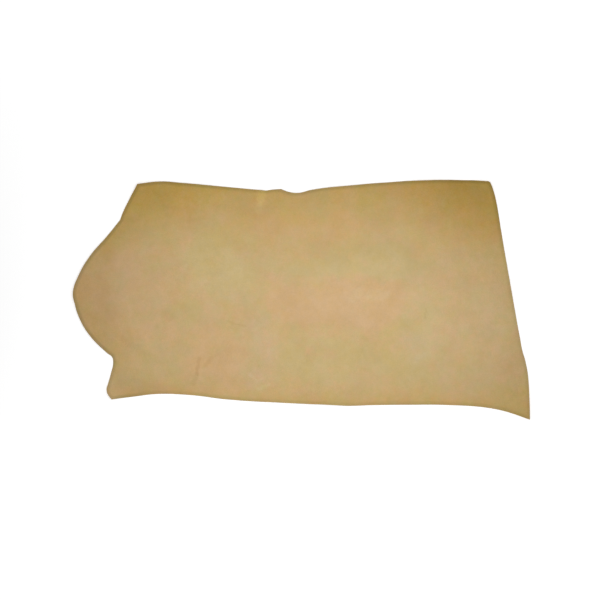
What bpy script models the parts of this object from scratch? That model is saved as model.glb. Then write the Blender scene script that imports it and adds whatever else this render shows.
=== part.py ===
"""A single bend of vegetable-tanned cowhide, laid out with its grain side up.

Metres, +Z up. X runs along the backbone, from the rounded butt (-X) to the straight
shoulder cut (+X). Y runs from the backbone cut (-Y) to the belly cut (+Y). The flesh
side rests on Z = 0 and the origin is the middle of the bend's own box.

The bend is one piece: a filled outline, cut into a grid, raised where the edges curl
and the loose belly leather ripples, and given its thickness.
"""

import math
from collections import namedtuple

import bmesh
import bpy
from mathutils import Vector

# Driving dimensions, in metres
LENGTH = 1.400
THICKNESS = 0.003

# The tables below are a cutting pattern in millimetres, drawn at this length
PATTERN_LENGTH = 1400.0
UNIT = LENGTH / PATTERN_LENGTH

# Fineness of the solid: spacing of the grid, and steps along each outline curve
GRID_SPACING = 25.0 * UNIT
CURVE_STEPS = 6

GRAIN_COLOUR = (0.52, 0.36, 0.17, 1.0)
GRAIN_ROUGHNESS = 0.55

# The knife cut, anticlockwise from the butt corner: a smooth point keeps one tangent,
# a corner turns sharply
Stop = namedtuple("Stop", "x y join")
OUTLINE = {
    "butt cut": (
        Stop(-502, 355, "corner"),
        Stop(-529, 305, "smooth"),
        Stop(-547, 269, "smooth"),
        Stop(-556, 245, "corner"),
    ),
    "butt lobe": (
        Stop(-597, 194, "smooth"),
        Stop(-646, 137, "smooth"),
        Stop(-681, 79, "smooth"),
        Stop(-700, 22, "smooth"),
        Stop(-694, -14, "smooth"),
        Stop(-685, -45, "smooth"),
        Stop(-655, -101, "smooth"),
        Stop(-595, -164, "smooth"),
    ),
    "tail notch and tab": (
        Stop(-581, -175, "smooth"),
        Stop(-577, -190, "smooth"),
        Stop(-585, -229, "smooth"),
        Stop(-593, -258, "smooth"),
        Stop(-597, -274, "smooth"),
        Stop(-592, -291, "smooth"),
        Stop(-581, -305, "corner"),
    ),
    "backbone cut": (
        Stop(-508, -296, "smooth"),
        Stop(-447, -289, "smooth"),
        Stop(-340, -292, "smooth"),
        Stop(-232, -305, "smooth"),
        Stop(-33, -317, "smooth"),
        Stop(85, -322, "smooth"),
        Stop(145, -325, "smooth"),
        Stop(212, -323, "smooth"),
        Stop(304, -322, "smooth"),
        Stop(458, -323, "smooth"),
        Stop(571, -331, "smooth"),
        Stop(632, -344, "smooth"),
    ),
    "shoulder cut": (
        Stop(700, -367, "corner"),
        Stop(699, -309, "smooth"),
        Stop(695, -232, "smooth"),
        Stop(688, -191, "smooth"),
        Stop(678, -156, "smooth"),
        Stop(670, -113, "smooth"),
        Stop(644, 29, "smooth"),
        Stop(613, 212, "smooth"),
        Stop(598, 301, "smooth"),
        Stop(588, 338, "smooth"),
    ),
    "belly cut": (
        Stop(582, 353, "smooth"),
        Stop(576, 362, "smooth"),
        Stop(563, 364, "smooth"),
        Stop(504, 367, "smooth"),
        Stop(362, 366, "smooth"),
        Stop(274, 361, "smooth"),
        Stop(151, 351, "smooth"),
        Stop(34, 338, "smooth"),
        Stop(-13, 328, "smooth"),
        Stop(-45, 333, "smooth"),
        Stop(-62, 340, "corner"),
        Stop(-88, 338, "smooth"),
        Stop(-108, 335, "corner"),
        Stop(-248, 348, "smooth"),
        Stop(-370, 359, "smooth"),
        Stop(-432, 363, "smooth"),
    ),
}

# Corners and rims that curl up past a straight crease through (x, y): facing is the
# way the rim lies from the crease in degrees, reach how far, height its rise there
Curl = namedtuple("Curl", "name x y facing width reach height")
CURLS = (
    Curl("butt corner", -462, 288, 122, 260, 78, 10),
    Curl("upper lobe", -592, 118, 147, 280, 66, 5),
    Curl("lobe", -622, 8, 180, 300, 78, 6),
    Curl("lower lobe", -607, -92, 214, 200, 58, 5),
    Curl("tail tab", -545, -250, 228, 190, 66, 8),
    Curl("shoulder tip", 623, -238, -31, 420, 133, 13),
    Curl("shoulder corner", 541, 305, 52, 260, 68, 8),
)

# Ridges that run in from a rim point (x, y) and die away after reach
Ripple = namedtuple("Ripple", "name x y facing width reach height")
RIPPLES = (
    Ripple("flank ripple", -125, 337, 90, 50, 90, 3.5),
    Ripple("butt-side belly wave", -330, 358, 90, 230, 110, 4),
    Ripple("mid belly wave", 120, 350, 90, 200, 90, 3),
    Ripple("shoulder-side belly wave", 400, 368, 90, 240, 120, 5),
    Ripple("shoulder wave", 648, 40, 10, 260, 100, 4),
    Ripple("backbone wave", 60, -323, 270, 320, 80, 3),
)

# Low rises inside the sheet, where the leather does not quite lie down
Swell = namedtuple("Swell", "name x y length width turn height")
SWELLS = (
    Swell("butt swell", -330, 70, 300, 190, 25, 2.5),
    Swell("middle swell", 200, 20, 240, 150, 0, 2),
    Swell("shoulder swell", 470, 140, 250, 170, -20, 3),
    Swell("lobe swell", -500, -120, 190, 90, -35, 2.5),
)


def start_clean():
    """Empty the scene and return the collection that holds the hide."""
    for leftover in list(bpy.data.objects):
        bpy.data.objects.remove(leftover, do_unlink=True)
    collection = bpy.data.collections.new("leather_bend")
    bpy.context.scene.collection.children.link(collection)
    return collection


def leather_material():
    """Natural vegetable-tanned grain."""
    material = bpy.data.materials.new("natural_leather")
    material.use_nodes = True
    shader = material.node_tree.nodes["Principled BSDF"]
    shader.inputs["Base Color"].default_value = GRAIN_COLOUR
    shader.inputs["Roughness"].default_value = GRAIN_ROUGHNESS
    shader.inputs["Metallic"].default_value = 0.0
    return material


def outline_curve(collection):
    """The cut edge as one closed, filled 2D curve."""
    stops = [stop for edge in OUTLINE.values() for stop in edge]
    curve = bpy.data.curves.new("outline", "CURVE")
    curve.dimensions = "2D"
    curve.fill_mode = "BOTH"
    curve.resolution_u = CURVE_STEPS
    spline = curve.splines.new("BEZIER")
    spline.use_cyclic_u = True
    spline.bezier_points.add(len(stops) - 1)
    for point, stop in zip(spline.bezier_points, stops):
        handle = "AUTO" if stop.join == "smooth" else "VECTOR"
        point.co = (stop.x * UNIT, stop.y * UNIT, 0.0)
        point.handle_left_type = handle
        point.handle_right_type = handle
    outline = bpy.data.objects.new("outline", curve)
    collection.objects.link(outline)
    return outline


def sheet_box(sheet):
    """Lowest and highest corner of the sheet."""
    low = Vector([min(vert.co[axis] for vert in sheet.verts) for axis in range(3)])
    high = Vector([max(vert.co[axis] for vert in sheet.verts) for axis in range(3)])
    return low, high


def filled_sheet(outline):
    """The area inside the curve as a single face, centred on the origin."""
    depsgraph = bpy.context.evaluated_depsgraph_get()
    mesh = bpy.data.meshes.new_from_object(outline.evaluated_get(depsgraph))
    bpy.data.objects.remove(outline, do_unlink=True)
    sheet = bmesh.new()
    sheet.from_mesh(mesh)
    bpy.data.meshes.remove(mesh)
    bmesh.ops.remove_doubles(sheet, verts=sheet.verts, dist=0.00001)
    bmesh.ops.dissolve_faces(sheet, faces=sheet.faces)
    for face in sheet.faces:
        if face.normal.z < 0:
            face.normal_flip()
    low, high = sheet_box(sheet)
    bmesh.ops.translate(sheet, verts=sheet.verts, vec=-(low + high) / 2)
    return sheet


def cut_grid(sheet):
    """Slice the sheet along evenly spaced lines, both ways."""
    low, high = sheet_box(sheet)
    for direction in (Vector((1, 0, 0)), Vector((0, 1, 0))):
        first = math.ceil(low.dot(direction) / GRID_SPACING)
        last = math.floor(high.dot(direction) / GRID_SPACING)
        for step in range(first, last + 1):
            everything = sheet.verts[:] + sheet.edges[:] + sheet.faces[:]
            place = direction * step * GRID_SPACING
            bmesh.ops.bisect_plane(sheet, geom=everything, plane_co=place, plane_no=direction)


def turned(x, y, row, degrees):
    """Place (x, y) seen from a table row's point, with +X turned to the given angle."""
    angle = math.radians(degrees)
    across = x - row.x * UNIT
    along = y - row.y * UNIT
    ahead = across * math.cos(angle) + along * math.sin(angle)
    aside = along * math.cos(angle) - across * math.sin(angle)
    return ahead / UNIT, aside / UNIT


def bump(share):
    """One at the middle, falling smoothly to nothing at a share of one."""
    return max(0.0, 1.0 - share * share) ** 2


def curl_height(row, x, y):
    """Rise past the crease, with the square of the distance."""
    ahead, aside = turned(x, y, row, row.facing)
    return row.height * (max(0.0, ahead) / row.reach) ** 2 * bump(2.0 * aside / row.width)


def ripple_height(row, x, y):
    """A ridge, highest at the rim."""
    ahead, aside = turned(x, y, row, row.facing)
    inward = max(0.0, -ahead) / row.reach
    return row.height * bump(inward) * bump(2.0 * aside / row.width)


def swell_height(row, x, y):
    """A low oval dome."""
    ahead, aside = turned(x, y, row, row.turn)
    return row.height * bump(math.hypot(2.0 * ahead / row.length, 2.0 * aside / row.width))


def lift(x, y):
    """How far the leather stands off what it lies on, in metres."""
    curls = sum(curl_height(row, x, y) for row in CURLS)
    ripples = sum(ripple_height(row, x, y) for row in RIPPLES)
    swells = sum(swell_height(row, x, y) for row in SWELLS)
    return (curls + ripples + swells) * UNIT


def make_hide(collection):
    """The whole bend: outline, grid, relief and thickness."""
    sheet = filled_sheet(outline_curve(collection))
    cut_grid(sheet)
    for vert in sheet.verts:
        vert.co.z = lift(vert.co.x, vert.co.y)
    mesh = bpy.data.meshes.new("hide")
    sheet.to_mesh(mesh)
    sheet.free()
    mesh.materials.append(leather_material())
    hide = bpy.data.objects.new("hide", mesh)
    collection.objects.link(hide)
    solid = hide.modifiers.new("thickness", "SOLIDIFY")
    solid.thickness = THICKNESS
    solid.offset = 1.0
    return hide


def main():
    collection = start_clean()
    make_hide(collection)


main()
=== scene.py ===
import math
from collections import namedtuple

import bpy
import numpy as np
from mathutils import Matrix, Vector, noise
from mathutils.geometry import delaunay_2d_cdt


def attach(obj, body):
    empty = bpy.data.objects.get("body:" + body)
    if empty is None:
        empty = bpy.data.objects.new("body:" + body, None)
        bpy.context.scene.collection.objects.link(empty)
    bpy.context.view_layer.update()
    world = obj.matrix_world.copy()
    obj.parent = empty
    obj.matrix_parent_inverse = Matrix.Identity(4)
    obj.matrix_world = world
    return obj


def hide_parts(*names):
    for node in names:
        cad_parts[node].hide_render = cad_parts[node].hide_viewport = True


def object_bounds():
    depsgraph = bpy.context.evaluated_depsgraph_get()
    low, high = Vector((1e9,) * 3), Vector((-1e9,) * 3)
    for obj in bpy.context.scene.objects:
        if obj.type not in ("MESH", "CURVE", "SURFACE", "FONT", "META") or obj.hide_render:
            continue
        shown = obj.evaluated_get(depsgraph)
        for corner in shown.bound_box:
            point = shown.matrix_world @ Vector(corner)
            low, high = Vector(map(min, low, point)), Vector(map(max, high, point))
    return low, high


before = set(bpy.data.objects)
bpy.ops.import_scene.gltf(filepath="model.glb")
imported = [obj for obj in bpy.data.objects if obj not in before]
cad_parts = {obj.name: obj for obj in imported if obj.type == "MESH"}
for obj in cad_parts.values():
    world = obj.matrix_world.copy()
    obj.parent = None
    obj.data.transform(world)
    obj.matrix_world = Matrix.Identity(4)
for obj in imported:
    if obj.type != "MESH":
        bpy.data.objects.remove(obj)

# The looks of a single bend of natural vegetable-tanned cowhide, laid flat with its
# grain side up. Metres, +Z up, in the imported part's own frame: X runs along the
# backbone from the butt (-X) to the shoulder cut (+X), Y from the backbone cut (-Y)
# to the belly cut (+Y). Tables give places on the hide in millimetres.

CAD_LOW, CAD_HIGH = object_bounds()

# ---------------------------------------------------------------------------
# Form
# ---------------------------------------------------------------------------

MM = 0.001
THICKNESS = 3.0 * MM

# Fineness of the mesh: spacing along the cut, spacing of the points inside, and steps
# along each curve of the outline
RIM_STEP = 4.0 * MM
INNER_STEP = 6.0 * MM
CURVE_STEPS = 24

# Rounding of the grain and flesh side arrises, and the rings of points that carry it
GRAIN_ARRIS = 0.7 * MM
FLESH_ARRIS = 0.4 * MM
RING_DISTANCES = np.array([0.0, 0.12, 0.35, 0.7, 1.6]) * MM

# Rings down the cut face: share of the way to the flesh side, and how far each stands
# out past the knife line
WallRing = namedtuple("WallRing", "depth bulge")
WALL_RINGS = (
    WallRing(0.35, 0.10 * MM),
    WallRing(0.62, 0.16 * MM),
    WallRing(0.85, 0.05 * MM),
)

# Smooth random waves: how high, how far apart, and which of the many random patterns
Wave = namedtuple("Wave", "height wavelength seed")
KNIFE_WAVES = (
    Wave(0.25 * MM, 38 * MM, 0),
    Wave(0.10 * MM, 10 * MM, 1),
)
SAG = Wave(1.1 * MM, 150 * MM, 7)
UNEVEN_THICKNESS = Wave(0.2 * MM, 45 * MM, 11)

# The cut edge, anticlockwise from the butt corner, as in the part: a smooth stop keeps
# one tangent, a corner turns sharply
Stop = namedtuple("Stop", "x y join")
OUTLINE = {
    "butt cut": (
        Stop(-502, 355, "corner"),
        Stop(-529, 305, "smooth"),
        Stop(-547, 269, "smooth"),
        Stop(-556, 245, "corner"),
    ),
    "butt lobe": (
        Stop(-597, 194, "smooth"),
        Stop(-646, 137, "smooth"),
        Stop(-681, 79, "smooth"),
        Stop(-700, 22, "smooth"),
        Stop(-694, -14, "smooth"),
        Stop(-685, -45, "smooth"),
        Stop(-655, -101, "smooth"),
        Stop(-595, -164, "smooth"),
    ),
    "tail notch and tab": (
        Stop(-581, -175, "smooth"),
        Stop(-577, -190, "smooth"),
        Stop(-585, -229, "smooth"),
        Stop(-593, -258, "smooth"),
        Stop(-597, -274, "smooth"),
        Stop(-592, -291, "smooth"),
        Stop(-581, -305, "corner"),
    ),
    "backbone cut": (
        Stop(-508, -296, "smooth"),
        Stop(-447, -289, "smooth"),
        Stop(-340, -292, "smooth"),
        Stop(-232, -305, "smooth"),
        Stop(-33, -317, "smooth"),
        Stop(85, -322, "smooth"),
        Stop(145, -325, "smooth"),
        Stop(212, -323, "smooth"),
        Stop(304, -322, "smooth"),
        Stop(458, -323, "smooth"),
        Stop(571, -331, "smooth"),
        Stop(632, -344, "smooth"),
    ),
    "shoulder cut": (
        Stop(700, -367, "corner"),
        Stop(699, -309, "smooth"),
        Stop(695, -232, "smooth"),
        Stop(688, -191, "smooth"),
        Stop(678, -156, "smooth"),
        Stop(670, -113, "smooth"),
        Stop(644, 29, "smooth"),
        Stop(613, 212, "smooth"),
        Stop(598, 301, "smooth"),
        Stop(588, 338, "smooth"),
    ),
    "belly cut": (
        Stop(582, 353, "smooth"),
        Stop(576, 362, "smooth"),
        Stop(563, 364, "smooth"),
        Stop(504, 367, "smooth"),
        Stop(362, 366, "smooth"),
        Stop(274, 361, "smooth"),
        Stop(151, 351, "smooth"),
        Stop(34, 338, "smooth"),
        Stop(-13, 328, "smooth"),
        Stop(-45, 333, "smooth"),
        Stop(-62, 340, "corner"),
        Stop(-88, 338, "smooth"),
        Stop(-108, 335, "corner"),
        Stop(-248, 348, "smooth"),
        Stop(-370, 359, "smooth"),
        Stop(-432, 363, "smooth"),
    ),
}

# The relief, as in the part. Corners and rims curl up past a straight crease through
# (x, y): facing is the way the rim lies from there in degrees, reach how far, height
# its rise
Curl = namedtuple("Curl", "name x y facing width reach height")
CURLS = (
    Curl("butt corner", -462, 288, 122, 260, 78, 10),
    Curl("upper lobe", -592, 118, 147, 280, 66, 5),
    Curl("lobe", -622, 8, 180, 300, 78, 6),
    Curl("lower lobe", -607, -92, 214, 200, 58, 5),
    Curl("tail tab", -545, -250, 228, 190, 66, 8),
    Curl("shoulder tip", 623, -238, -31, 420, 133, 13),
    Curl("shoulder corner", 541, 305, 52, 260, 68, 8),
)

# Ridges that run in from a rim point (x, y) and die away after reach
Ripple = namedtuple("Ripple", "name x y facing width reach height")
RIPPLES = (
    Ripple("flank ripple", -125, 337, 90, 50, 90, 3.5),
    Ripple("butt-side belly wave", -330, 358, 90, 230, 110, 4),
    Ripple("mid belly wave", 120, 350, 90, 200, 90, 3),
    Ripple("shoulder-side belly wave", 400, 368, 90, 240, 120, 5),
    Ripple("shoulder wave", 648, 40, 10, 260, 100, 4),
    Ripple("backbone wave", 60, -323, 270, 320, 80, 3),
)

# An oval around (x, y), turned by so many degrees, and its strength in the middle. For
# the low rises inside the sheet, that is their height
Patch = namedtuple("Patch", "name x y length width turn strength")
SWELLS = (
    Patch("butt swell", -330, 70, 300, 190, 25, 2.5),
    Patch("middle swell", 200, 20, 240, 150, 0, 2),
    Patch("shoulder swell", 470, 140, 250, 170, -20, 3),
    Patch("lobe swell", -500, -120, 190, 90, -35, 2.5),
)

# ---------------------------------------------------------------------------
# Colours of the grain
# ---------------------------------------------------------------------------

# Fresh tan, linear, and what full age does to it: a tint and a darkening. Near the rims
# and corners the darkening is partly painted shade, for light that falls off there
ROSY_TAN = (0.655, 0.431, 0.214, 1.0)
GREEN_TAN = (0.596, 0.449, 0.199, 1.0)
AGED_AND_SHADED_SHARE = (0.97, 0.84, 0.24, 1.0)
AGE_AND_SHADE_DARKENING = 0.2

# A thin dark line along the rim, painted shade of the rounded cut edge: its tint at full
# strength, and between which distances from the cut it fades out. It is weaker where the
# grain is fresh than where it is aged and shaded
RIM_SHADE_SHARE = (0.74, 0.77, 0.75, 1.0)
RIM_SHADE_LINE = (3.0 * MM, 14.0 * MM)
RIM_SHADE_FRESH = 0.6
RIM_SHADE_FULL = 1.3

# A band along a named edge where light and air have aged the grain, strongest at the cut,
# and how strongly the painted rim shade shows there. The band's darkening is partly painted
# shade, for light that falls off toward the rim. EDGE_TONE_FADE is the power with which the
# band fades. Where two edges meet, the rim shade passes from one strength to the other: an
# edge's weight falls with its distance plus RIM_BLEND, to RIM_BLEND_POWER
EdgeTone = namedtuple("EdgeTone", "edge width strength rim_line")
EDGE_TONES = (
    EdgeTone("belly cut", 270, 0.52, 0.9),
    EdgeTone("butt cut", 120, 0.45, 1.2),
    EdgeTone("butt lobe", 130, 0.26, 1.4),
    EdgeTone("tail notch and tab", 60, 0.15, 1.1),
    EdgeTone("backbone cut", 90, 0.35, 0.6),
    EdgeTone("shoulder cut", 80, 0.10, 0.7),
)
EDGE_TONE_FADE = 1.5
RIM_BLEND = 10 * MM
RIM_BLEND_POWER = 2.0

# Oval patches that have aged in the same way, and are partly painted shade for light that
# falls off toward the corners. On the curled shoulder tip the tone is painted shade
PATCH_TONES = (
    Patch("shoulder corner", 565, 370, 960, 530, -22, 0.90),
    Patch("butt corner", -460, 370, 700, 380, 0, 0.56),
    Patch("belly rim on the butt side", -290, 350, 400, 150, -3, 0.22),
    Patch("shoulder tip", 670, -270, 240, 380, 15, 0.18),
)

# Clouds in the fresh tan: rosier where the strength is above 0, greener below 0
CLOUDS = (
    Patch("middle, butt side", 0, -15, 270, 150, 0, 2.2),
    Patch("middle, shoulder side", 195, -5, 370, 200, 0, 2.2),
    Patch("below the middle", 60, -160, 120, 70, 0, 1.5),
    Patch("above the middle", 10, 225, 560, 130, 0, 0.6),
    Patch("shoulder corner", 440, 300, 360, 150, -10, 0.5),
    Patch("butt", -530, 0, 340, 430, 10, 0.6),
    Patch("butt rim", -660, -20, 130, 330, -5, 1.0),
    Patch("tail root", -250, -170, 240, 220, 20, 1.2),
    Patch("backbone rim near the tail", -390, -285, 460, 50, 0, 1.1),
    Patch("shoulder tip", 640, -170, 150, 240, 0, 0.3),
    Patch("shoulder tip, greenish", 665, -270, 130, 240, 0, -0.4),
    Patch("upper butt, greenish", -230, 105, 330, 240, -45, -1.4),
    Patch("between the rosy bands, greenish", 20, 100, 300, 80, 0, -1.2),
    Patch("shoulder-side arc, greenish", 240, 120, 340, 140, -10, -1.5),
    Patch("shoulder side of the middle, greenish", 350, -70, 120, 230, 10, -0.9),
    Patch("backbone, greenish", 110, -185, 480, 170, 0, -1.5),
    Patch("backbone near the shoulder, greenish", 350, -210, 340, 180, 0, -0.6),
    Patch("tail, greenish", -480, -210, 150, 110, 0, -0.4),
    Patch("butt spot, greenish", -360, -40, 130, 100, 0, -0.9),
    Patch("under the belly cut, greenish", 40, 268, 280, 60, 0, -0.4),
)

# Zones where the grain is cooler and a little paler (above 0), or deeper (below 0)
PALE_SHARE = (1.01, 1.02, 1.08, 1.0)
DEEP_SHARE = (0.92, 0.905, 0.90, 1.0)
PALENESS = (
    Patch("shoulder, pale", 460, -90, 560, 290, 5, 0.9),
    Patch("middle, pale", 200, 30, 520, 260, 0, 1.0),
    Patch("above the middle, pale", 50, 250, 320, 110, 0, 0.5),
    Patch("upper butt, pale", -270, 110, 320, 220, -40, 1.0),
    Patch("belly rim on the butt side, pale", -300, 360, 420, 150, -3, 0.9),
    # The deeper tone at the lobe rim and at the shoulder corner is partly painted shade, for
    # light that falls off there
    Patch("lobe, deep", -700, 0, 340, 600, 0, -1.5),
    Patch("shoulder corner, deep", 480, 290, 500, 320, -15, -0.8),
    Patch("tail root, deep", -200, -195, 260, 170, 0, -0.35),
)

# A cloud or zone is even near its middle, and the larger CLOUD_EDGE, the sharper its
# outline, which wanders by one wave along X and one along Y. The sum of the strengths
# at a point levels off at CLOUD_LIMIT
CLOUD_EDGE = 2.2
CLOUD_LIMIT = 1.5
CLOUD_WANDER = (
    Wave(26 * MM, 85 * MM, 3),
    Wave(26 * MM, 85 * MM, 5),
)

# How strongly fine mottling shifts the tint, the age with its painted shade, and the brightness
TINT_MOTTLING = 1.25
AGE_AND_SHADE_MOTTLING = 0.19
VALUE_MOTTLING = 0.048

# The tint of age and painted shade counts from this value, so that even fresh grain has some
# of it
AGE_AND_SHADE_START = -0.12

# Marks on the grain: a stroke from (x0, y0) to (x1, y1), with its tone from MARK_TONES.
# The tone is full up to the share MARK_CORE of the radius, and noise shifts the stroke
# by half of MARK_WANDER at most
Mark = namedtuple("Mark", "name x0 y0 x1 y1 radius tone")
MARKS = (
    Mark("long scratch", -314, -180, -320, -229, 9, "scratch"),
    Mark("foot of the long scratch", -322, -228, -332, -258, 11, "stain"),
    Mark("short scratch", -274, -178, -292, -200, 10, "stain"),
    Mark("nick", -131, -203, -127, -210, 5, "faint"),
    Mark("healed scar", 381, -27, 381, -57, 5, "stain"),
    Mark("hairline", -226, -67, -171, -82, 5, "stain"),
    Mark("butt-side spot", -413, -46, -407, -50, 26, "stain"),
    Mark("lower butt-side spot", -361, -22, -355, -26, 20, "stain"),
    Mark("lobe crease", -548, -119, -481, -165, 14, "faint"),
    Mark("tail crease", -554, -254, -386, -280, 30, "faint"),
    Mark("scuff, shoulder side", 214, 16, 258, 14, 24, "pale"),
    Mark("scuff, butt side", 158, 2, 178, 24, 20, "pale"),
    Mark("pale vein, upper", -156, -228, -138, -248, 8, "pale"),
    Mark("pale vein, lower", -130, -274, -98, -260, 8, "pale"),
    Mark("between the pale veins", -140, -236, -146, -282, 38, "cool"),
    Mark("cool patch by the tail root", -112, -80, -98, -150, 60, "cool"),
    Mark("cool patch on the upper butt", -242, 52, -224, 22, 45, "cool"),
    Mark("cool patch over the backbone", 346, -130, 352, -160, 55, "cool"),
    # A lighter crest on the flank ripple: paler grain and a painted highlight where the fold
    # catches the light
    Mark("flank ripple crest", -119, 338, -124, 304, 21, "bleach_and_highlight"),
    Mark("foot of the flank ripple", -130, 290, -132, 272, 14, "pale"),
)
MARK_TONES = {
    "scratch": (0.93, 0.90, 0.85, 1.0),
    "stain": (0.95, 0.93, 0.88, 1.0),
    "faint": (0.97, 0.965, 0.95, 1.0),
    "cool": (1.00, 1.01, 1.12, 1.0),
    "pale": (1.02, 1.065, 1.11, 1.0),
    # Painted highlight on a raised crest, with paler grain
    "bleach_and_highlight": (1.09, 1.15, 1.12, 1.0),
}
MARK_CORE = 0.3
MARK_WANDER = 14 * MM

# ---------------------------------------------------------------------------
# Texture of the grain, the cut face and the flesh side
# ---------------------------------------------------------------------------

# Noise: the size of its features, and the noise texture's own settings. Its values
# spread around the middle, and nearly all lie in NOISE_RANGE
Pattern = namedtuple("Pattern", "size detail roughness distortion")
MOTTLE = Pattern(83 * MM, 6.0, 0.85, 0.0)
SPECKLE = Pattern(3 * MM, 4.0, 0.65, 0.0)
FAT_FOLDS = Pattern(18 * MM, 3.0, 0.5, 1.2)
MARK_WANDERING = Pattern(17 * MM, 2.0, 0.5, 0.0)
CUT_FIBRES = Pattern(1.1 * MM, 4.0, 0.7, 0.0)
CUT_STRANDS = Pattern(5.5 * MM, 3.0, 0.6, 0.0)
FLESH_CLOUDS = Pattern(70 * MM, 3.0, 0.6, 0.5)
FLESH_NAP = Pattern(2.4 * MM, 5.0, 0.7, 0.6)
FLESH_FLUFF = Pattern(0.7 * MM, 3.0, 0.7, 0.0)
NOISE_RANGE = (0.2, 0.8)
NOISE_MIDDLE = (0.5, 0.5, 0.5)

# Narrower ranges of noise, over which one tone passes into another
MOTTLE_RANGE = (0.36, 0.64)
SPECKLE_RANGE = (0.25, 0.75)
FIBRE_RANGE = (0.3, 0.7)

# The range over which mottling, clouds and pale zones count
SIGNED_RANGE = (-1.0, 1.0)

# Pores and pebbles, and how wide a pore and a crease are as a share of the cells' scale
PORE_SPACING = 1.05 * MM
PORE_REACH = 0.35
PEBBLE_SIZE = 2.4 * MM
CREASE_REACH = 0.12

# The nap of the flesh side lies along X
NAP_STRETCH = (0.35, 1.0, 1.0)

# Heights of the relief, in millimetres
PORE_DEPTH = 0.05
PEBBLE_CREASE_DEPTH = 0.04
SPECKLE_HEIGHT = 0.05
FAT_FOLD_HEIGHT = 0.25
MOTTLE_HEIGHT = 0.2
SCRATCH_DEPTH = 0.12
FIBRE_HEIGHT = 0.25
STRAND_HEIGHT = 0.2
NAP_HEIGHT = 0.5
FLUFF_HEIGHT = 0.15
FLESH_CLOUD_HEIGHT = 0.4

# Pores and pebble creases are a little darker, and the speckle a little uneven
PORE_SHADE = 0.06
SPECKLE_SHADE = 0.05

# The cut face: pale and dark fibres, and over them the dense grain layer, which is dark
# by a share and fades out between two depths. The flesh side is at a depth of 1
CUT_PALE = (0.560, 0.400, 0.230, 1.0)
CUT_DARK = (0.330, 0.200, 0.095, 1.0)
GRAIN_LAYER_SHARE = 0.75
GRAIN_LAYER_DEPTHS = (0.10, 0.35)

# The flesh side: how much of its shading follows the clouds, and how much the nap
FLESH_PALE = (0.600, 0.480, 0.330, 1.0)
FLESH_DARK = (0.440, 0.320, 0.190, 1.0)
FLESH_CLOUD_SHARE = 0.4
FLESH_NAP_SHARE = 0.6
FLESH_SHEEN = 0.15

# The shader's specular level on each side, and between which values its roughness varies
Gloss = namedtuple("Gloss", "specular roughness")
GRAIN_GLOSS = Gloss(0.35, (0.50, 0.62))
CUT_GLOSS = Gloss(0.2, (0.75, 0.9))
FLESH_GLOSS = Gloss(0.15, (0.85, 0.95))

# ---------------------------------------------------------------------------
# Stage: floor, light and camera
# ---------------------------------------------------------------------------

WHITE = (1.0, 1.0, 1.0, 1.0)
FLOOR_WHITE = (0.90, 0.90, 0.90, 1.0)
FLOOR_ROUGHNESS = 0.9
FLOOR_SIZE = 30.0
FLOOR_DROP = 0.2 * MM

# The floor's own glow grows away from the soft box, between these distances. They are
# measured level, and a stretch along X counts for less
GLOW_NEAR = 0.1
GLOW_FAR = 1.25
GLOW_RANGE = (0.24, 0.86)
GLOW_OVAL = (0.7, 1.0, 0.0)

# The soft box in metres and watts, and the even light of the sky
SOFT_BOX_PLACE = (0.05, -0.05, 0.6)
SOFT_BOX_SIZE = (1.6, 1.2)
SOFT_BOX_POWER = 7.6
SKY_LIGHT = 0.2

# The picture is square, and the hide's box in it is this wide and centred here, in
# pixels from its top left corner. Lens and sensor are in millimetres
PICTURE_SIZE = 600
HIDE_PIXELS = 456.55
HIDE_CENTRE = (301.275, 299.725)
LENS = 85.0
SENSOR = 36.0


# ---------------------------------------------------------------------------
# The hide's form
# ---------------------------------------------------------------------------


def turned(x, y, row, degrees):
    """Millimetres ahead and aside of a table row's point, ahead being at that angle."""
    angle = math.radians(degrees)
    across = x / MM - row.x
    along = y / MM - row.y
    ahead = across * math.cos(angle) + along * math.sin(angle)
    aside = along * math.cos(angle) - across * math.sin(angle)
    return ahead, aside


def bump(share):
    """One at the middle, falling smoothly to nothing at a share of one."""
    return np.maximum(0.0, 1.0 - share * share) ** 2


def curl_height(row, x, y):
    """Rise past the crease, with the square of the distance."""
    ahead, aside = turned(x, y, row, row.facing)
    return row.height * (np.maximum(0.0, ahead) / row.reach) ** 2 * bump(2.0 * aside / row.width)


def ripple_height(row, x, y):
    """A ridge, highest at the rim."""
    ahead, aside = turned(x, y, row, row.facing)
    inward = np.maximum(0.0, -ahead) / row.reach
    return row.height * bump(inward) * bump(2.0 * aside / row.width)


def oval(row, x, y):
    """One at the middle of an oval patch, nothing at its rim."""
    ahead, aside = turned(x, y, row, row.turn)
    return bump(np.hypot(2.0 * ahead / row.length, 2.0 * aside / row.width))


def lift(x, y):
    """How far the leather stands off what it lies on, as in the part."""
    curls = sum(curl_height(row, x, y) for row in CURLS)
    ripples = sum(ripple_height(row, x, y) for row in RIPPLES)
    swells = sum(row.strength * oval(row, x, y) for row in SWELLS)
    return (curls + ripples + swells) * MM


def waves(wave, points):
    """A random wave's height at each point."""
    places = points / wave.wavelength
    return wave.height * np.array([noise.noise(Vector((x, y, wave.seed))) for x, y in places])


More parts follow.
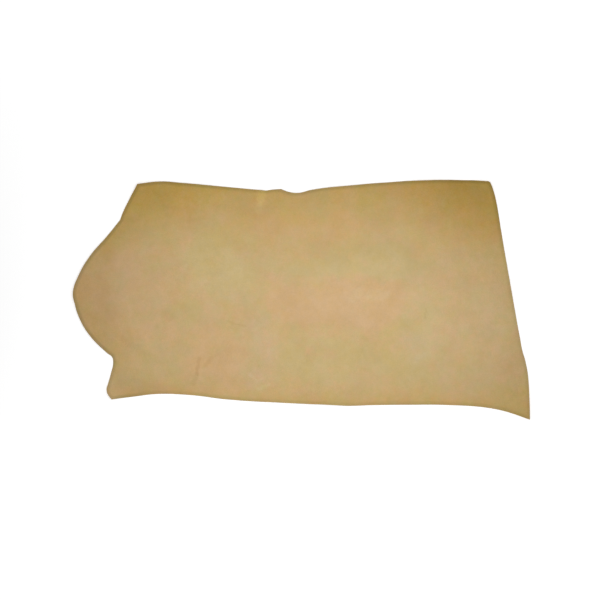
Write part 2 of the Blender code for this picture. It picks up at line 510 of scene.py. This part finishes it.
def outline_curve():
    """The outline's curve as closely spaced points."""
    curve = bpy.data.curves.new("outline", "CURVE")
    curve.dimensions = "2D"
    curve.fill_mode = "NONE"
    curve.resolution_u = CURVE_STEPS
    spline = curve.splines.new("BEZIER")
    spline.use_cyclic_u = True
    stops = [stop for edge in OUTLINE.values() for stop in edge]
    spline.bezier_points.add(len(stops) - 1)
    for point, stop in zip(spline.bezier_points, stops):
        handle = "AUTO" if stop.join == "smooth" else "VECTOR"
        point.co = (stop.x * MM, stop.y * MM, 0.0)
        point.handle_left_type = handle
        point.handle_right_type = handle
    guide = bpy.data.objects.new("outline", curve)
    bpy.context.scene.collection.objects.link(guide)
    depsgraph = bpy.context.evaluated_depsgraph_get()
    mesh = bpy.data.meshes.new_from_object(guide.evaluated_get(depsgraph))
    line = np.array([vertex.co.xy for vertex in mesh.vertices])
    bpy.data.objects.remove(guide, do_unlink=True)
    bpy.data.meshes.remove(mesh)
    return line


def outline_runs():
    """The outline from each stop to the next, each run with the name of its edge, and
    the whole centred on its own box."""
    line = outline_curve()
    edges = [edge for edge, stops in OUTLINE.items() for _ in stops]
    places = [np.array((stop.x, stop.y)) * MM for stops in OUTLINE.values() for stop in stops]
    starts = [int(np.argmin(np.linalg.norm(line - place, axis=1))) for place in places]
    ends = starts[1:] + [len(line)]
    middle = (line.min(axis=0) + line.max(axis=0)) / 2.0
    closed = np.vstack([line, line[:1]]) - middle
    return [(edge, closed[start : end + 1]) for edge, start, end in zip(edges, starts, ends)]


def spaced(points, step):
    """An open run of points again, evenly spaced, without its last point."""
    lengths = np.linalg.norm(np.diff(points, axis=0), axis=1)
    places = np.concatenate([[0.0], np.cumsum(lengths)])
    count = max(1, round(places[-1] / step))
    wanted = np.linspace(0.0, places[-1], count + 1)[:-1]
    return np.column_stack([np.interp(wanted, places, points[:, axis]) for axis in (0, 1)])


def cut_line():
    """The knife cut: evenly spaced points, the edge that each is on, and the outward
    direction there, lengthened at corners so that offset rings stay parallel."""
    runs = [(edge, spaced(run, RIM_STEP)) for edge, run in outline_runs()]
    names = [edge for edge, run in runs for _ in run]
    points = np.vstack([run for _, run in runs])
    before = points - np.roll(points, 1, axis=0)
    after = np.roll(points, -1, axis=0) - points
    before /= np.linalg.norm(before, axis=1)[:, None]
    after /= np.linalg.norm(after, axis=1)[:, None]
    normals = np.column_stack([before[:, 1] + after[:, 1], -before[:, 0] - after[:, 0]])
    normals /= np.linalg.norm(normals, axis=1)[:, None]
    mitre = normals[:, 0] * after[:, 1] - normals[:, 1] * after[:, 0]
    wander = sum(waves(wave, points) for wave in KNIFE_WAVES)
    return points + normals * wander[:, None], np.array(names), normals / mitre[:, None]


def distance_to(points, starts, ends):
    """Distance from each point to the nearest of the segments."""
    nearest = np.full(len(points), np.inf)
    for first, last in zip(starts, ends):
        along = last - first
        share = np.clip((points - first) @ along / (along @ along), 0.0, 1.0)
        gap = points - first - share[:, None] * along
        nearest = np.minimum(nearest, np.einsum("ij,ij->i", gap, gap))
    return np.sqrt(nearest)


def lattice(low, high):
    """Points in equal triangles over a box."""
    row_height = INNER_STEP * math.sin(math.radians(60.0))
    columns = np.arange(low[0], high[0], INNER_STEP)
    rows = np.arange(low[1], high[1], row_height)
    x, y = np.meshgrid(columns, rows)
    x[1::2] += INNER_STEP / 2.0
    return np.column_stack([x.ravel(), y.ravel()])


def arris_drop(distance, radius):
    """How far a rounded arris falls away at a distance from the cut."""
    reach = np.clip(radius - distance, 0.0, radius)
    return radius - np.sqrt(radius * radius - reach * reach)


class Plan:
    """The hide seen from above: rings along the cut, then points inside them."""

    def __init__(self):
        self.cut, self.edge_names, self.outward = cut_line()
        self.ring_size = len(self.cut)
        rings = [self.cut - self.outward * distance for distance in RING_DISTANCES]
        inside = self.inner_points(rings[-1])
        self.points = np.vstack(rings + [inside])
        self.triangles = self.fill(rings[-1], inside)
        self.edge_distance = {edge: self.distance_to_edge(edge) for edge in OUTLINE}
        self.rim = np.min(list(self.edge_distance.values()), axis=0)
        self.rim[: len(rings) * self.ring_size] = np.repeat(RING_DISTANCES, self.ring_size)

    def inner_points(self, ring):
        """Lattice points that lie inside the ring and clear of it."""
        points = lattice(ring.min(axis=0), ring.max(axis=0))
        following = np.roll(ring, -1, axis=0)
        crossings = np.zeros(len(points), dtype=int)
        for (ax, ay), (bx, by) in zip(ring, following):
            spans = (ay > points[:, 1]) != (by > points[:, 1])
            if spans.any():
                reach = (bx - ax) * (points[:, 1] - ay) / (by - ay) + ax
                crossings += spans & (points[:, 0] < reach)
        points = points[crossings % 2 == 1]
        return points[distance_to(points, ring, following) > INNER_STEP / 2.0]

    def fill(self, ring, inside):
        """Triangles over the innermost ring and the points inside it."""
        corners = [Vector(point) for point in np.vstack([ring, inside])]
        border = list(range(len(ring)))
        triangles_inside = 1
        nearness = 1e-7
        solved = delaunay_2d_cdt(corners, [], [border], triangles_inside, nearness)
        faces, sources = solved[2], solved[3]
        first = self.ring_size * (len(RING_DISTANCES) - 1)
        return [[first + sources[corner][0] for corner in face] for face in faces]

    def distance_to_edge(self, edge):
        """Distance from every point of the plan to one named edge of the cut."""
        on_edge = self.edge_names == edge
        following = np.roll(self.cut, -1, axis=0)
        return distance_to(self.points, self.cut[on_edge], following[on_edge])


def aging_and_shade(plan):
    """How far the grain is aged, partly painted shade of light falling off at rims and corners,
    0 to 1.
    """
    x, y = plan.points.T
    fresh = np.ones(len(x))
    for row in EDGE_TONES:
        share = np.clip(plan.edge_distance[row.edge] / (row.width * MM), 0.0, 1.0)
        fresh *= 1.0 - row.strength * (1.0 - share) ** EDGE_TONE_FADE
    for row in PATCH_TONES:
        fresh *= 1.0 - row.strength * oval(row, x, y)
    return 1.0 - fresh


def rim_shades(plan, aged_and_shaded):
    """How strongly the painted rim shade shows at each point, by the nearest edges and the age.
    """
    edges = [row.edge for row in EDGE_TONES]
    distances = np.array([plan.edge_distance[edge] + RIM_BLEND for edge in edges])
    nearness = distances**-RIM_BLEND_POWER
    strengths = np.array([row.rim_line for row in EDGE_TONES])
    by_age_and_shade = RIM_SHADE_FRESH + (RIM_SHADE_FULL - RIM_SHADE_FRESH) * aged_and_shaded
    return by_age_and_shade * (strengths @ nearness) / nearness.sum(axis=0)


def clouds(plan, rows):
    """The sum of a table's patches at each point, with wandering outlines."""
    wander = np.column_stack([waves(wave, plan.points) for wave in CLOUD_WANDER])
    x, y = (plan.points + wander).T
    total = sum(row.strength * np.minimum(1.0, CLOUD_EDGE * oval(row, x, y)) for row in rows)
    return CLOUD_LIMIT * np.tanh(total / CLOUD_LIMIT)


def ring_faces(first, second, size):
    """Quads between two rings of points, numbered from first and from second."""
    indices = np.arange(size)
    following = np.roll(indices, -1)
    corners = [first + indices, first + following, second + following, second + indices]
    return np.column_stack(corners).tolist()


def hide_points(plan):
    """The points of the grain side, then of the flesh side, then of each wall ring, and
    how deep each lies, from 0 at the grain to 1 at the flesh."""
    x, y = plan.points.T
    size = plan.ring_size
    base = lift(x, y) + np.maximum(0.0, waves(SAG, plan.points))
    uneven = waves(UNEVEN_THICKNESS, plan.points)
    top = base + THICKNESS + uneven - arris_drop(plan.rim, GRAIN_ARRIS)
    under = base + arris_drop(plan.rim, FLESH_ARRIS)
    points = [np.column_stack([x, y, top]), np.column_stack([x, y, under])]
    depth = [np.zeros(len(x)), np.ones(len(x))]
    for ring in WALL_RINGS:
        place = plan.cut + plan.outward * ring.bulge
        height = top[:size] * (1.0 - ring.depth) + under[:size] * ring.depth
        points.append(np.column_stack([place, height]))
        depth.append(np.full(size, ring.depth))
    return np.vstack(points), np.concatenate(depth)


def hide_layers(plan):
    """What the materials read at each point, by name: both sides and the wall alike."""
    aged_and_shaded = aging_and_shade(plan)
    layers = {
        "rim": plan.rim,
        "rim_line": rim_shades(plan, aged_and_shaded),
        # Age, with painted shade toward the rims and corners
        "aged_and_shaded": aged_and_shaded,
        "rosy": clouds(plan, CLOUDS),
        "pale": clouds(plan, PALENESS),
    }
    for name, values in layers.items():
        wall = [values[: plan.ring_size]] * len(WALL_RINGS)
        layers[name] = np.concatenate([values, values] + wall)
    return layers


def hide_faces(plan):
    """The faces of the grain side, of the flesh side and of the wall."""
    count = len(plan.points)
    size = plan.ring_size
    grain = []
    for index in range(len(RING_DISTANCES) - 1):
        grain += ring_faces(index * size, (index + 1) * size, size)
    grain += plan.triangles
    flesh = [[count + corner for corner in reversed(face)] for face in grain]
    wall = []
    wall_rings = [2 * count + index * size for index in range(len(WALL_RINGS))]
    levels = [count] + wall_rings[::-1] + [0]
    for lower, upper in zip(levels, levels[1:]):
        wall += ring_faces(lower, upper, size)
    return grain, flesh, wall


def hide_mesh(plan):
    """Grain side, flesh side and cut face as one closed mesh."""
    points, depth = hide_points(plan)
    sides = hide_faces(plan)
    mesh = bpy.data.meshes.new("leather_hide")
    mesh.from_pydata(points.tolist(), [], [face for faces in sides for face in faces])
    for name, values in {"depth": depth, **hide_layers(plan)}.items():
        layer = mesh.attributes.new(name, "FLOAT", "POINT")
        layer.data.foreach_set("value", values.astype(np.float32))
    for material in (grain_material(), flesh_material(), cut_material()):
        mesh.materials.append(material)
    slots = [slot for slot, faces in enumerate(sides) for _ in faces]
    mesh.polygons.foreach_set("material_index", slots)
    mesh.shade_smooth()
    mesh.update()
    return mesh


# ---------------------------------------------------------------------------
# Materials
# ---------------------------------------------------------------------------


class Nodes:
    """Short calls that build one material's nodes."""

    def __init__(self, name):
        self.material = bpy.data.materials.new(name)
        self.material.use_nodes = True
        self.tree = self.material.node_tree
        self.shader = self.tree.nodes["Principled BSDF"]
        self.position = self.add("TexCoord").outputs["Object"]

    def feed(self, socket, value):
        """Link a socket to another, or set its value."""
        if isinstance(value, bpy.types.NodeSocket):
            self.tree.links.new(value, socket)
        else:
            socket.default_value = value

    def add(self, kind, inputs=None, **settings):
        """A node of that kind, with its inputs by name or number."""
        node = self.tree.nodes.new("ShaderNode" + kind)
        for name, value in settings.items():
            setattr(node, name, value)
        for name, value in (inputs or {}).items():
            self.feed(node.inputs[name], value)
        return node

    def math(self, operation, first, second=0.0, third=0.0):
        """One operation on numbers."""
        node = self.add("Math", {0: first, 1: second, 2: third}, operation=operation)
        return node.outputs["Value"]

    def vector(self, operation, first, second=(0.0, 0.0, 0.0), output="Vector"):
        """One operation on vectors."""
        node = self.add("VectorMath", {0: first, 1: second}, operation=operation)
        return node.outputs[output]

    def attribute(self, name):
        """What the mesh says at each point."""
        return self.add("Attribute", attribute_name=name).outputs["Fac"]

    def noise(self, pattern, vector=None, output="Fac"):
        """Noise with features of the pattern's size."""
        inputs = {
            "Vector": vector or self.position,
            "Scale": 1.0 / pattern.size,
            "Detail": pattern.detail,
            "Roughness": pattern.roughness,
            "Distortion": pattern.distortion,
        }
        return self.add("TexNoise", inputs).outputs[output]

    def cells(self, size, feature):
        """Distance within a pattern of cells of that size."""
        inputs = {"Vector": self.position, "Scale": 1.0 / size}
        return self.add("TexVoronoi", inputs, feature=feature).outputs["Distance"]

    def remap(self, value, source, target=(0.0, 1.0), curve="LINEAR"):
        """One range of values mapped to another, held at its ends."""
        inputs = {
            "Value": value,
            "From Min": source[0],
            "From Max": source[1],
            "To Min": target[0],
            "To Max": target[1],
        }
        node = self.add("MapRange", inputs, interpolation_type=curve, clamp=True)
        return node.outputs["Result"]

    def soft(self, value, source, target=(0.0, 1.0)):
        """The same, easing in and out."""
        return self.remap(value, source, target, "SMOOTHSTEP")

    def fade(self, value, source):
        """One before the range of values, easing to nothing after it."""
        return self.soft(value, source, (1.0, 0.0))

    def mix(self, factor, first, second, mode="MIX"):
        """Two colours mixed, or one laid over the other in another mode."""
        # The sockets for colours go by number, as their names are those of other types
        inputs = {0: factor, 6: first, 7: second}
        return self.add("Mix", inputs, data_type="RGBA", blend_type=mode).outputs[2]

    def tone(self, factor, colour, share):
        """A colour multiplied by a share, as far as the factor says."""
        return self.mix(factor, colour, share, "MULTIPLY")

    def shade(self, colour, value):
        """A colour made darker or lighter by a grey value."""
        grey = self.add("CombineXYZ", {"X": value, "Y": value, "Z": value})
        return self.tone(1.0, colour, grey.outputs["Vector"])

    def sum(self, rows):
        """The sum of (pattern, weight) rows."""
        total = 0.0
        for pattern, weight in rows:
            total = self.math("MULTIPLY_ADD", pattern, weight, total)
        return total

    def finish(self, colour, gloss, pattern, relief):
        """Feed the shader: the roughness follows one pattern of noise, and relief is
        (pattern, height in millimetres) rows."""
        roughness = self.remap(pattern, NOISE_RANGE, gloss.roughness)
        bumps = self.add("Bump", {"Strength": 1.0, "Distance": MM, "Height": self.sum(relief)})
        self.feed(self.shader.inputs["Base Color"], colour)
        self.feed(self.shader.inputs["Roughness"], roughness)
        self.feed(self.shader.inputs["Specular IOR Level"], gloss.specular)
        self.feed(self.shader.inputs["Normal"], bumps.outputs["Normal"])
        return self.material


def near_mark(nodes, position, mark):
    """One within a mark's core, falling to nothing at its radius."""
    start = Vector((mark.x0, mark.y0, 0.0)) * MM
    along = Vector((mark.x1, mark.y1, 0.0)) * MM - start
    offset = nodes.vector("SUBTRACT", position, start)
    reach = nodes.vector("DOT_PRODUCT", offset, along / along.length_squared, "Value")
    inputs = {0: along, "Scale": nodes.remap(reach, (0.0, 1.0))}
    nearest = nodes.add("VectorMath", inputs, operation="SCALE").outputs["Vector"]
    distance = nodes.vector("LENGTH", nodes.vector("SUBTRACT", offset, nearest), output="Value")
    return nodes.fade(distance, (MARK_CORE * mark.radius * MM, mark.radius * MM))


def mottling(nodes):
    """Three unrelated fields of fine mottling, each from -1 to 1."""
    parts = nodes.add("SeparateColor", {"Color": nodes.noise(MOTTLE, output="Color")}).outputs
    return [nodes.remap(part, MOTTLE_RANGE, SIGNED_RANGE) for part in parts]


def tan_colour(nodes, tint_mottle, age_and_shade_mottle):
    """Rosy, greenish and pale clouds, yellowed and darkened by age and painted shade, with
    painted rim shade.
    """
    tint = nodes.math("MULTIPLY_ADD", tint_mottle, TINT_MOTTLING, nodes.attribute("rosy"))
    colour = nodes.mix(nodes.remap(tint, SIGNED_RANGE), GREEN_TAN, ROSY_TAN)
    paleness = nodes.remap(nodes.attribute("pale"), SIGNED_RANGE)
    colour = nodes.tone(1.0, colour, nodes.mix(paleness, DEEP_SHARE, PALE_SHARE))
    # Tint of age, partly painted shade toward the rims and corners
    age_and_shade = nodes.math("MULTIPLY_ADD", age_and_shade_mottle, AGE_AND_SHADE_MOTTLING, nodes.attribute("aged_and_shaded"))
    colour = nodes.tone(nodes.remap(age_and_shade, (AGE_AND_SHADE_START, 1.0)), colour, AGED_AND_SHADED_SHARE)
    # Painted shade of the rounded cut edge: a thin dark line along the rim
    rim_line = nodes.fade(nodes.attribute("rim"), RIM_SHADE_LINE)
    rim_line = nodes.math("MULTIPLY", rim_line, nodes.attribute("rim_line"))
    return nodes.tone(rim_line, colour, RIM_SHADE_SHARE)


def add_marks(nodes, colour):
    """The grain with its marks, and how deeply it is scratched."""
    flat = nodes.vector("MULTIPLY", nodes.position, (1.0, 1.0, 0.0))
    wander = nodes.vector("SUBTRACT", nodes.noise(MARK_WANDERING, flat, "Color"), NOISE_MIDDLE)
    wander = nodes.vector("MULTIPLY", wander, (MARK_WANDER, MARK_WANDER, 0.0))
    flat = nodes.vector("ADD", flat, wander)
    scratched = 0.0
    for mark in MARKS:
        nearness = near_mark(nodes, flat, mark)
        colour = nodes.tone(nearness, colour, MARK_TONES[mark.tone])
        if mark.tone == "scratch":
            scratched = nodes.math("ADD", nearness, scratched)
    return colour, scratched


def grain_material():
    """The grain side: clouded tan, aged rims with painted shade, marks, pores and fine creases.
    """
    nodes = Nodes("grain")
    tint_mottle, age_and_shade_mottle, value_mottle = mottling(nodes)
    colour = tan_colour(nodes, tint_mottle, age_and_shade_mottle)
    colour, scratched = add_marks(nodes, colour)

    pores = nodes.fade(nodes.cells(PORE_SPACING, "F1"), (0.0, PORE_REACH))
    creases = nodes.fade(nodes.cells(PEBBLE_SIZE, "DISTANCE_TO_EDGE"), (0.0, CREASE_REACH))
    speckle = nodes.noise(SPECKLE)
    uneven = nodes.soft(speckle, SPECKLE_RANGE, (1.0 + SPECKLE_SHADE, 1.0 - SPECKLE_SHADE))
    aged_and_shaded = nodes.attribute("aged_and_shaded")
    value = nodes.sum((
        (uneven, 1.0),
        (pores, -PORE_SHADE),
        (creases, -PORE_SHADE),
        (value_mottle, VALUE_MOTTLING),
        # Darker with age, and with painted shade where light falls off toward the rims and
        # corners
        (nodes.math("MULTIPLY", aged_and_shaded, aged_and_shaded), -AGE_AND_SHADE_DARKENING),
    ))
    relief = (
        (pores, -PORE_DEPTH),
        (creases, -PEBBLE_CREASE_DEPTH),
        (speckle, SPECKLE_HEIGHT),
        (nodes.noise(FAT_FOLDS), FAT_FOLD_HEIGHT),
        (value_mottle, MOTTLE_HEIGHT),
        (scratched, -SCRATCH_DEPTH),
    )
    return nodes.finish(nodes.shade(colour, value), GRAIN_GLOSS, speckle, relief)


def cut_material():
    """The knife cut: a dense darker grain layer over paler, layered fibres."""
    nodes = Nodes("cut_edge")
    fibres = nodes.noise(CUT_FIBRES)
    strands = nodes.noise(CUT_STRANDS)
    colour = nodes.mix(nodes.soft(fibres, FIBRE_RANGE), CUT_PALE, CUT_DARK)
    depth = nodes.attribute("depth")
    grain_layer = nodes.soft(depth, GRAIN_LAYER_DEPTHS, (GRAIN_LAYER_SHARE, 0.0))
    colour = nodes.mix(grain_layer, colour, CUT_DARK)
    relief = (
        (fibres, FIBRE_HEIGHT),
        (strands, STRAND_HEIGHT),
    )
    return nodes.finish(colour, CUT_GLOSS, strands, relief)


def flesh_material():
    """The flesh side: pale, napped and fibrous."""
    nodes = Nodes("flesh_side")
    clouding = nodes.noise(FLESH_CLOUDS)
    nap = nodes.noise(FLESH_NAP, nodes.vector("MULTIPLY", nodes.position, NAP_STRETCH))
    shading = nodes.sum((
        (nodes.soft(clouding, FIBRE_RANGE), FLESH_CLOUD_SHARE),
        (nodes.soft(nap, FIBRE_RANGE), FLESH_NAP_SHARE),
    ))
    colour = nodes.mix(shading, FLESH_PALE, FLESH_DARK)
    relief = (
        (nap, NAP_HEIGHT),
        (nodes.noise(FLESH_FLUFF), FLUFF_HEIGHT),
        (clouding, FLESH_CLOUD_HEIGHT),
    )
    nodes.shader.inputs["Sheen Weight"].default_value = FLESH_SHEEN
    return nodes.finish(colour, FLESH_GLOSS, nap, relief)


def floor_material():
    """A plain white studio floor, which glows more and more away from the soft box."""
    nodes = Nodes("studio_floor")
    oval_position = nodes.vector("MULTIPLY", nodes.position, GLOW_OVAL)
    away = nodes.vector("LENGTH", oval_position, output="Value")
    glow = nodes.remap(away, (GLOW_NEAR, GLOW_FAR), GLOW_RANGE)
    nodes.feed(nodes.shader.inputs["Emission Strength"], glow)
    nodes.shader.inputs["Emission Color"].default_value = WHITE
    nodes.shader.inputs["Base Color"].default_value = FLOOR_WHITE
    nodes.shader.inputs["Roughness"].default_value = FLOOR_ROUGHNESS
    nodes.shader.inputs["Specular IOR Level"].default_value = 0.0
    return nodes.material


# ---------------------------------------------------------------------------
# Making
# ---------------------------------------------------------------------------


def make_hide():
    """The dressed hide, and the area inside its cut."""
    plan = Plan()
    hide = bpy.data.objects.new("leather_hide", hide_mesh(plan))
    bpy.context.scene.collection.objects.link(hide)
    x, y = plan.cut.T
    area = abs(np.sum(x * np.roll(y, -1) - y * np.roll(x, -1))) / 2.0
    return hide, float(area)


def make_floor():
    """A wide floor just under the hide."""
    bpy.ops.mesh.primitive_plane_add(size=FLOOR_SIZE, location=(0.0, 0.0, -FLOOR_DROP))
    floor = bpy.context.active_object
    floor.name = "studio_floor"
    floor.data.materials.append(floor_material())
    return floor


def make_camera():
    """Straight above, with the hide where the picture has it."""
    scale = (CAD_HIGH.x - CAD_LOW.x) / HIDE_PIXELS
    middle = PICTURE_SIZE / 2.0
    camera_data = bpy.data.cameras.new("camera")
    camera_data.lens = LENS
    camera_data.sensor_width = SENSOR
    camera = bpy.data.objects.new("camera", camera_data)
    camera.location.x = (middle - HIDE_CENTRE[0]) * scale
    camera.location.y = (HIDE_CENTRE[1] - middle) * scale
    camera.location.z = THICKNESS + LENS / SENSOR * PICTURE_SIZE * scale
    bpy.context.scene.collection.objects.link(camera)
    bpy.context.scene.camera = camera


def make_soft_box():
    """One wide soft box over the hide, which the camera doesn't see."""
    light_data = bpy.data.lights.new("soft_box", "AREA")
    light_data.shape = "RECTANGLE"
    light_data.size, light_data.size_y = SOFT_BOX_SIZE
    light_data.energy = SOFT_BOX_POWER
    light = bpy.data.objects.new("soft_box", light_data)
    light.location = SOFT_BOX_PLACE
    light.visible_camera = False
    bpy.context.scene.collection.objects.link(light)


def make_sky():
    """White behind everything, and a faint even light."""
    world = bpy.data.worlds.new("studio")
    world.use_nodes = True
    bpy.context.scene.world = world
    tree = world.node_tree
    background = tree.nodes["Background"]
    background.inputs["Color"].default_value = WHITE
    path = tree.nodes.new("ShaderNodeLightPath")
    strength = tree.nodes.new("ShaderNodeMapRange")
    strength.inputs["To Min"].default_value = SKY_LIGHT
    strength.inputs["To Max"].default_value = 1.0
    tree.links.new(path.outputs["Is Camera Ray"], strength.inputs["Value"])
    tree.links.new(strength.outputs["Result"], background.inputs["Strength"])


def main():
    """Dress the part, hang it on its body in place of the plain part, and set the stage."""
    hide, area = make_hide()
    floor = make_floor()
    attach(hide, "root")
    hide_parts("hide")
    make_camera()
    make_soft_box()
    make_sky()
    bpy.context.scene.view_settings.view_transform = "Standard"


main()
